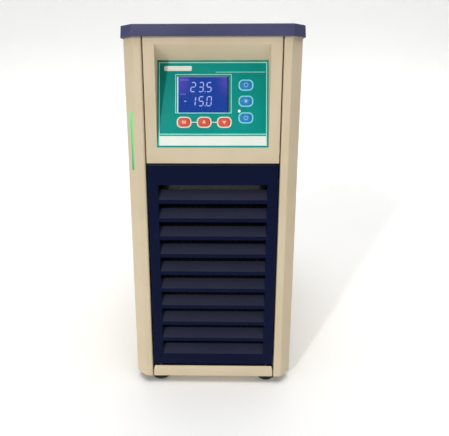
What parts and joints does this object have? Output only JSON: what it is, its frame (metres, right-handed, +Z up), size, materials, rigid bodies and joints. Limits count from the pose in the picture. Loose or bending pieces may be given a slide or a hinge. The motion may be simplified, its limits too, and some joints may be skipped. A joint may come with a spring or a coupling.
{
  "type": "recirculating chiller",
  "caption": "Upright bench chiller cabinet with louvred front grille, slanted control panel in a recess, level window, lift-off filler cap and rear hose tails.",
  "frame": {"origin": "on the floor at the centre of the whole footprint, rear hose tails included", "axes": "+X to the right as one faces the front, +Y to the rear, +Z up"},
  "size_m": [0.2316, 0.4372, 0.51],
  "materials": {
    "black_paint": "black enamel on steel",
    "black_plastic": "black moulded plastic",
    "board": "green circuit board",
    "brass": "turned brass",
    "cabinet_paint": "fine textured beige powder coat",
    "clear_lens": "clear polished window",
    "clear_tube": "clear tube",
    "copper": "drawn copper tube",
    "display": "blue backlit display",
    "fins": "aluminium fins",
    "grille_plastic": "satin moulded navy plastic",
    "key_blue": "blue moulded key",
    "key_red": "red moulded key",
    "lamp": "frosted lamp",
    "level_green": "green translucent lens",
    "lid_plastic": "satin moulded dark violet-blue plastic",
    "overlay_print": "printed polyester sheet, sea green",
    "rubber": "black rubber",
    "stainless": "brushed stainless steel",
    "zinc_steel": "zinc-plated steel"
  },
  "bodies": {
    "chassis": {"base_tray": "cabinet_paint", "board_standoffs": "zinc_steel", "compressor": "black_paint", "compressor_bolts": "zinc_steel", "compressor_grommets": "rubber", "condenser": "fins", "control_board": "board", "control_overlay": "overlay_print", "deck": "zinc_steel", "delivery_hose": "rubber", "discharge_line": "copper", "drain_valve": "brass", "evaporator": "stainless", "fan_motor": "black_plastic", "fan_shroud": "zinc_steel", "filler_cap": "black_plastic", "filter_drier": "copper", "foot_screws": "zinc_steel", "front_fascia": "cabinet_paint", "front_grille": "grille_plastic", "inlet_nozzle": "brass", "lcd_module": "display", "lcd_window": "clear_lens", "left_side_panel": "cabinet_paint", "level_fittings": "black_plastic", "level_hoses": "clear_tube", "level_tube": "clear_tube", "level_window": "level_green", "liquid_line": "copper", "outlet_nozzle": "brass", "power_board": "board", "power_inlet": "black_plastic", "power_led": "lamp", "pump_cover": "black_plastic", "pump_housing": "black_plastic", "pump_motor": "fins", "rear_panel": "cabinet_paint", "rear_screws": "zinc_steel", "reservoir_tank": "stainless", "right_side_panel": "cabinet_paint", "rocker_switch": "black_plastic", "rubber_feet": "rubber", "suction_hose": "rubber", "suction_line": "copper", "tact_switches": "black_plastic", "tank_cover": "stainless", "top_cover": "lid_plastic"},
    "fan": {"fan_rotor": "black_plastic"},
    "pump_rotor": {"pump_impeller": "black_plastic"},
    "drain_handle": {"drain_lever": "black_plastic"},
    "switch_rocker": {"rocker": "black_plastic"},
    "key_pump": {"key_pump": "key_blue"},
    "key_cooling": {"key_cooling": "key_blue"},
    "key_power": {"key_power": "key_blue"},
    "key_set": {"key_set": "key_red"},
    "key_up": {"key_up": "key_red"},
    "key_down": {"key_down": "key_red"}
  },
  "joints": [
    {"name": "key_pump_press", "type": "slide", "parent": "chassis", "child": "key_pump", "axis": [0, 0.9725, -0.2328], "range_m": [0, 0.0005], "stiffness_N_per_m": 300, "springref_m": -0.001},
    {"name": "key_cooling_press", "type": "slide", "parent": "chassis", "child": "key_cooling", "axis": [0, 0.9725, -0.2328], "range_m": [0, 0.0005], "stiffness_N_per_m": 300, "springref_m": -0.001},
    {"name": "key_power_press", "type": "slide", "parent": "chassis", "child": "key_power", "axis": [0, 0.9725, -0.2328], "range_m": [0, 0.0005], "stiffness_N_per_m": 300, "springref_m": -0.001},
    {"name": "key_set_press", "type": "slide", "parent": "chassis", "child": "key_set", "axis": [0, 0.9725, -0.2328], "range_m": [0, 0.0005], "stiffness_N_per_m": 300, "springref_m": -0.001},
    {"name": "key_up_press", "type": "slide", "parent": "chassis", "child": "key_up", "axis": [0, 0.9725, -0.2328], "range_m": [0, 0.0005], "stiffness_N_per_m": 300, "springref_m": -0.001},
    {"name": "key_down_press", "type": "slide", "parent": "chassis", "child": "key_down", "axis": [0, 0.9725, -0.2328], "range_m": [0, 0.0005], "stiffness_N_per_m": 300, "springref_m": -0.001},
    {"name": "fan_spin", "type": "hinge", "parent": "chassis", "child": "fan", "pos_m": [0, -0.13135, 0.15075], "axis": [0, 1, 0], "continuous": true},
    {"name": "pump_spin", "type": "hinge", "parent": "chassis", "child": "pump_rotor", "pos_m": [0.0703, 0.02065, 0.054], "axis": [0, 1, 0], "continuous": true},
    {"name": "drain_turn", "type": "hinge", "parent": "chassis", "child": "drain_handle", "pos_m": [-0.06, 0.19515, 0.304], "axis": [0, 0, 1], "range_deg": [0, 90]},
    {"name": "switch_rock", "type": "hinge", "parent": "chassis", "child": "switch_rocker", "pos_m": [-0.03, 0.18265, 0.066], "axis": [1, 0, 0], "range_deg": [0, 16]}
  ]
}
